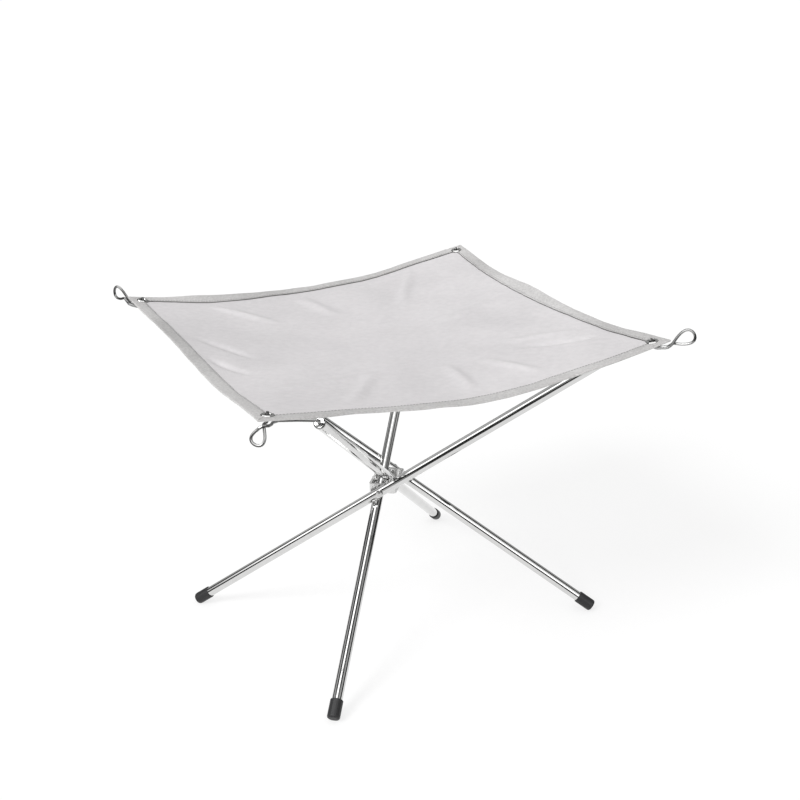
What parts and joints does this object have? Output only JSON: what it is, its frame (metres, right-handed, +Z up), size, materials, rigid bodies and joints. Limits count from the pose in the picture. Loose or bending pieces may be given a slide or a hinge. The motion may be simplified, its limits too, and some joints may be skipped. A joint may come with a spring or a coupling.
{
  "type": "folding camp fire pit",
  "caption": "Folding fire stand: crossed steel tube legs on a central hub carry a sagging square of fine steel mesh, hooked at its corner eyelets above the ground.",
  "frame": {"origin": "on the ground under the hub's centre", "axes": "+Z up, +X to the right in the picture, towards the right foot, -Y towards the viewer and the front foot"},
  "size_m": [0.6469, 0.6018, 0.3607],
  "materials": {
    "tube_steel": "polished",
    "bright_steel": "gloss",
    "black_rubber": "satin",
    "steel_mesh": "satin",
    "hem_tape": "matte"
  },
  "bodies": {
    "hub": {"hub_frame": "tube_steel", "cross_pin": "bright_steel", "cross_spacer": "bright_steel", "ear_washer_front": "bright_steel", "ear_washer_back": "bright_steel", "stud_left": "bright_steel", "stud_right": "bright_steel", "wall_washer_left": "bright_steel", "wall_washer_right": "bright_steel"},
    "leg_left": {"leg_left": "tube_steel", "foot_left": "black_rubber", "plug_left": "bright_steel", "hook_left": "bright_steel"},
    "leg_right": {"leg_right": "tube_steel", "foot_right": "black_rubber", "plug_right": "bright_steel", "hook_right": "bright_steel"},
    "leg_front": {"leg_front": "tube_steel", "foot_front": "black_rubber", "plug_front": "bright_steel", "hook_front": "bright_steel"},
    "leg_back": {"leg_back": "tube_steel", "foot_back": "black_rubber", "plug_back": "bright_steel", "hook_back": "bright_steel"},
    "bed": {"mesh_sheet": "steel_mesh", "hem_left_front": "hem_tape", "hem_right_front": "hem_tape", "hem_right_back": "hem_tape", "hem_left_back": "hem_tape", "eyelet_corner_left": "bright_steel", "eyelet_corner_right": "bright_steel", "eyelet_corner_front": "bright_steel", "eyelet_corner_back": "bright_steel", "eyelet_ring_left": "bright_steel", "eyelet_ring_right": "bright_steel", "eyelet_ring_front": "bright_steel", "eyelet_ring_back": "bright_steel"}
  },
  "joints": [
    {"name": "fold_left", "type": "hinge", "parent": "hub", "child": "leg_left", "pos_m": [0, -0.0295, 0.15787], "axis": [0, -1, 0], "range_deg": [0, 50]},
    {"name": "fold_right", "type": "hinge", "parent": "hub", "child": "leg_right", "pos_m": [0, 0.0295, 0.15787], "axis": [0, 1, 0], "range_deg": [0, 50]},
    {"name": "fold_front", "type": "hinge", "parent": "hub", "child": "leg_front", "pos_m": [-0.0061, 0, 0.15787], "axis": [1, 0, 0], "range_deg": [0, 50]},
    {"name": "fold_back", "type": "hinge", "parent": "hub", "child": "leg_back", "pos_m": [0.0061, 0, 0.15787], "axis": [-1, 0, 0], "range_deg": [0, 50]},
    {"name": "bed_lift", "type": "slide", "parent": "hub", "child": "bed", "axis": [0, 0, 1], "range_m": [0, 0.53]}
  ],
  "couplings": [
    {"joint": "fold_right", "follows": "fold_left", "ratio": 1},
    {"joint": "fold_front", "follows": "fold_left", "ratio": 1},
    {"joint": "fold_back", "follows": "fold_left", "ratio": 1},
    {"joint": "bed_lift", "follows": "fold_left", "m_per_rad": 0.6}
  ]
}
